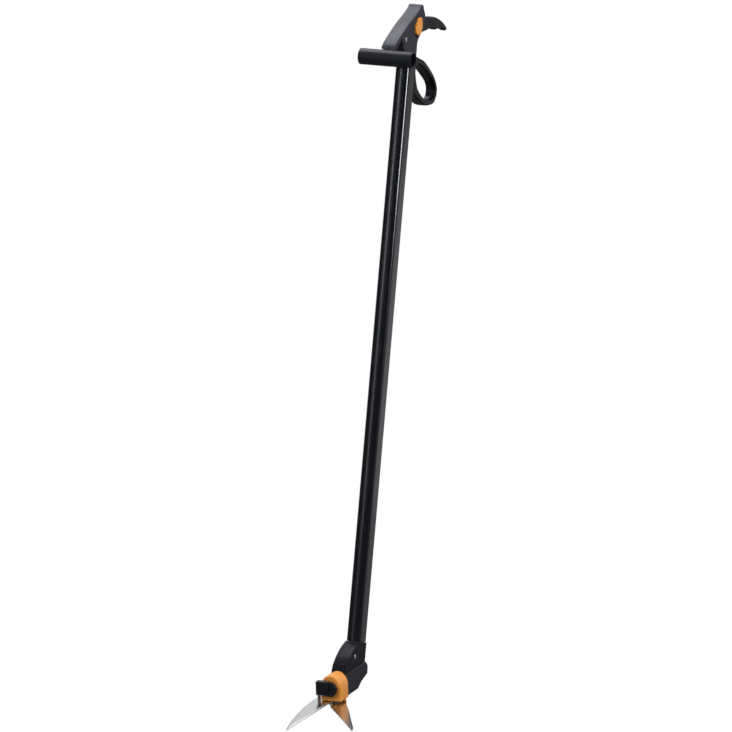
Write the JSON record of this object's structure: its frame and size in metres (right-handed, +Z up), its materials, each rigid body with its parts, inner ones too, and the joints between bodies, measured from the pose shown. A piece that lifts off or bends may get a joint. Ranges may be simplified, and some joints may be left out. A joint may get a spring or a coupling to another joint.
{
  "type": "long handled grass shears",
  "caption": "Long handled garden shears: a squeeze trigger at the top of a shaft drives two blades on a turning head at its foot.",
  "frame": {"origin": "point on the shaft's axis at the middle of its length, where a tool clip holds it", "axes": "+Z up along the shaft to the grip, -Y forward to the blades, +X to the right hand side"},
  "size_m": [0.1294, 0.3473, 1.0712],
  "materials": {
    "black_gloss": "gloss black",
    "shaft_black": "gloss black powder coat",
    "matt_black": "matt black",
    "grip_grey": "matt dark grey",
    "orange": "satin orange",
    "blade_steel": "satin ground steel",
    "steel": "plain steel",
    "dark_steel": "dark steel"
  },
  "bodies": {
    "handle": {"shaft_tube": "shaft_black", "grip_frame": "grip_grey", "crossbar_tube": "shaft_black", "crossbar_screw": "dark_steel", "trigger_pin": "steel", "hand_loop": "black_gloss", "loop_screw_upper": "dark_steel", "loop_screw_lower": "dark_steel", "return_spring": "steel", "spring_stop": "matt_black", "head_socket": "matt_black", "head_rivet": "steel", "gear_case": "matt_black", "case_screw_left": "dark_steel", "case_screw_right": "dark_steel", "crank_pin": "steel", "collar_retainer": "dark_steel"},
    "trigger": {"trigger": "black_gloss"},
    "lock": {"lock_button": "orange"},
    "link": {"link_rod": "steel", "link_pin_upper": "steel", "link_pin_lower": "steel", "spring_ring": "steel"},
    "crank": {"bell_crank": "steel"},
    "drive": {"drive_rod": "steel", "drive_pin": "steel"},
    "head": {"collar": "orange", "lower_blade": "blade_steel", "blade_bolt": "steel", "blade_screw": "dark_steel"},
    "slider": {"slider": "matt_black"},
    "blade": {"upper_blade": "blade_steel", "blade_post": "steel"}
  },
  "joints": [
    {"name": "trigger_pull", "type": "hinge", "parent": "handle", "child": "trigger", "pos_m": [0, -0.0318, 0.4542], "axis": [1, 0, 0], "range_deg": [0, 10], "stiffness_Nm_per_rad": 3, "springref_deg": -2.86},
    {"name": "lock_slide", "type": "slide", "parent": "handle", "child": "lock", "axis": [0, -0.454, -0.891], "range_m": [0, 0.003]},
    {"name": "link_slide", "type": "slide", "parent": "handle", "child": "link", "axis": [0, 0, 1], "range_m": [0, 0.00519], "deforming": ["return_spring"]},
    {"name": "crank_turn", "type": "hinge", "parent": "handle", "child": "crank", "pos_m": [0, 0.00511, -0.45239], "axis": [-1, 0, 0], "range_deg": [0, 40]},
    {"name": "drive_slide", "type": "slide", "parent": "handle", "child": "drive", "axis": [0, -0.9563, -0.2924], "range_m": [0, 0.01376]},
    {"name": "head_turn", "type": "hinge", "parent": "handle", "child": "head", "pos_m": [0, 0, -0.4737], "axis": [0, -0.9563, -0.2924], "range_deg": [-90, 90]},
    {"name": "slider_slide", "type": "slide", "parent": "head", "child": "slider", "axis": [0, -0.9563, -0.2924], "range_m": [0, 0.01376]},
    {"name": "blade_swing", "type": "hinge", "parent": "head", "child": "blade", "pos_m": [0, -0.06541, -0.4937], "axis": [0, -0.2924, 0.9563], "range_deg": [0, 34]}
  ],
  "couplings": [
    {"joint": "link_slide", "follows": "trigger_pull", "m_per_rad": 0.02965},
    {"joint": "crank_turn", "follows": "trigger_pull", "ratio": 4},
    {"joint": "drive_slide", "follows": "trigger_pull", "m_per_rad": 0.078769},
    {"joint": "slider_slide", "follows": "trigger_pull", "m_per_rad": 0.078769},
    {"joint": "blade_swing", "follows": "trigger_pull", "ratio": 3.4}
  ]
}
